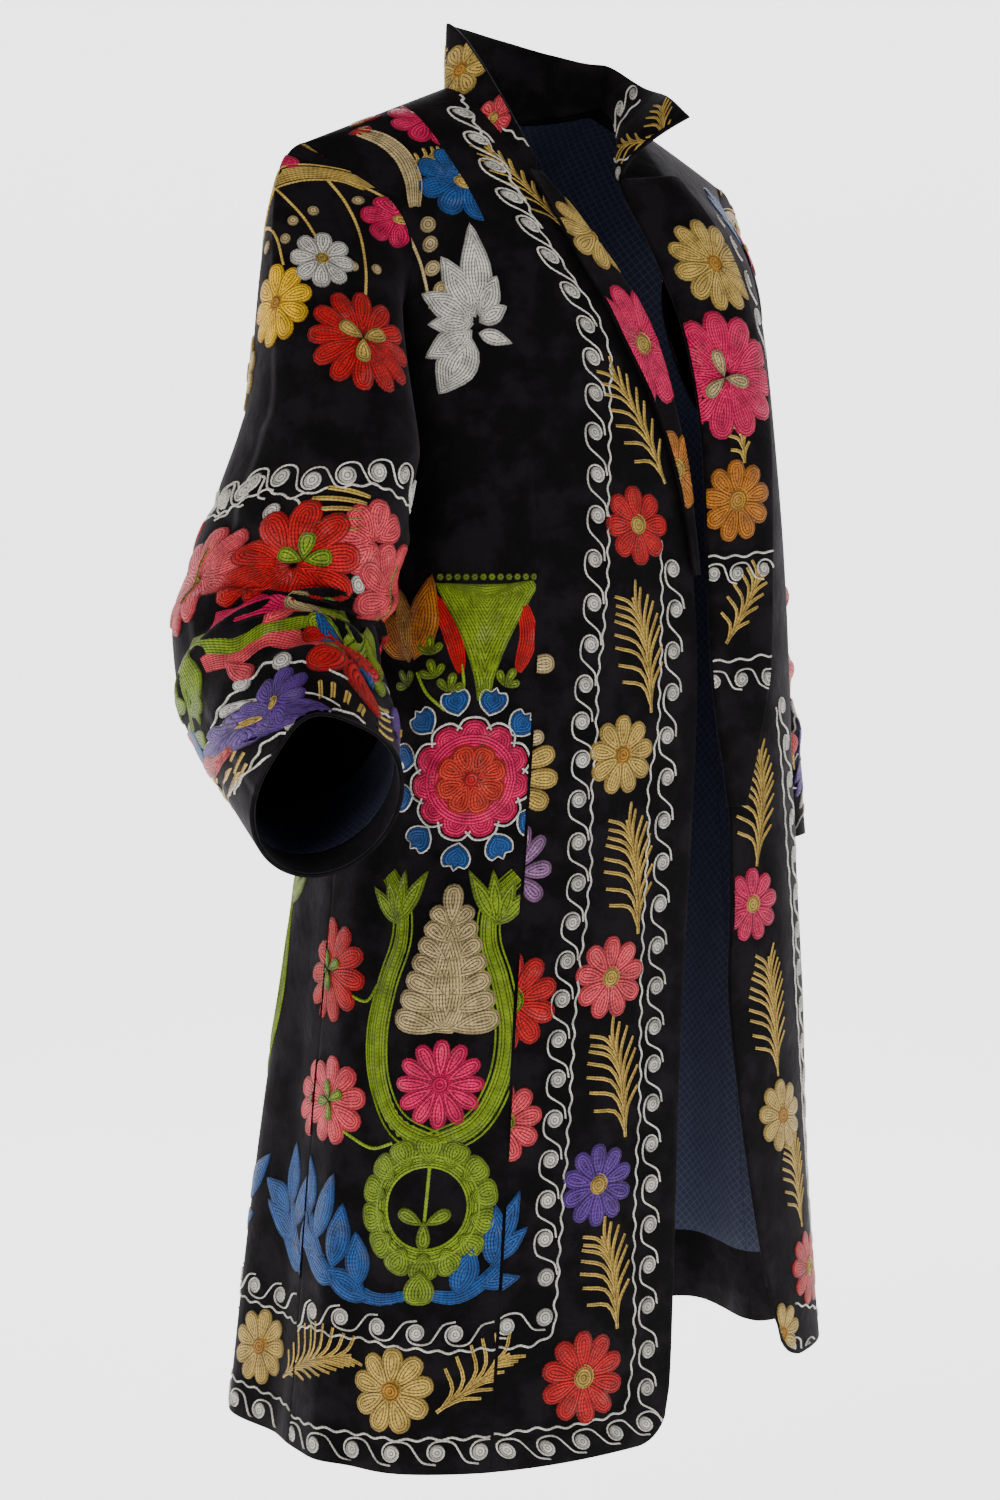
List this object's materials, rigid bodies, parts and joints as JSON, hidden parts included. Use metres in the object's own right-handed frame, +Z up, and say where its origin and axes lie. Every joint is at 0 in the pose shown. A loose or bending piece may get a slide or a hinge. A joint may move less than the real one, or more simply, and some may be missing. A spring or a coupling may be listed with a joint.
{
  "type": "uzbek chapan robe",
  "caption": "Knee-length velvet chapan worn open, with a stand collar, turned-back lapels and silk chain-stitch flowers",
  "frame": {"origin": "The middle of the neck, 16 mm above the inner ends of the shoulder seams, where the wearer's neck and shoulders hold the coat up", "axes": "+Z up; the wearer faces -Y; the wearer's left is +X"},
  "size_m": [0.687, 0.3694, 1.0245],
  "materials": {
    "velvet": "black velvet with a soft sheen, embroidered in silk chain stitch",
    "facing": "plain black velveteen",
    "lining": "dull navy cotton with a small woven diamond check"
  },
  "bodies": {
    "root": {"back": "velvet", "front_right_side": "velvet", "front_right_border": "velvet", "front_left_side": "velvet", "front_left_border": "velvet", "collar": "velvet", "lapel_right": "velvet", "lapel_left": "velvet", "sleeve_right": "velvet", "sleeve_left": "velvet", "facing_right": "facing", "facing_left": "facing", "cuff_facing_right": "facing", "cuff_facing_left": "facing", "lining_back": "lining", "lining_right": "lining", "lining_left": "lining", "sleeve_lining_right": "lining", "sleeve_lining_left": "lining"}
  },
  "joints": []
}
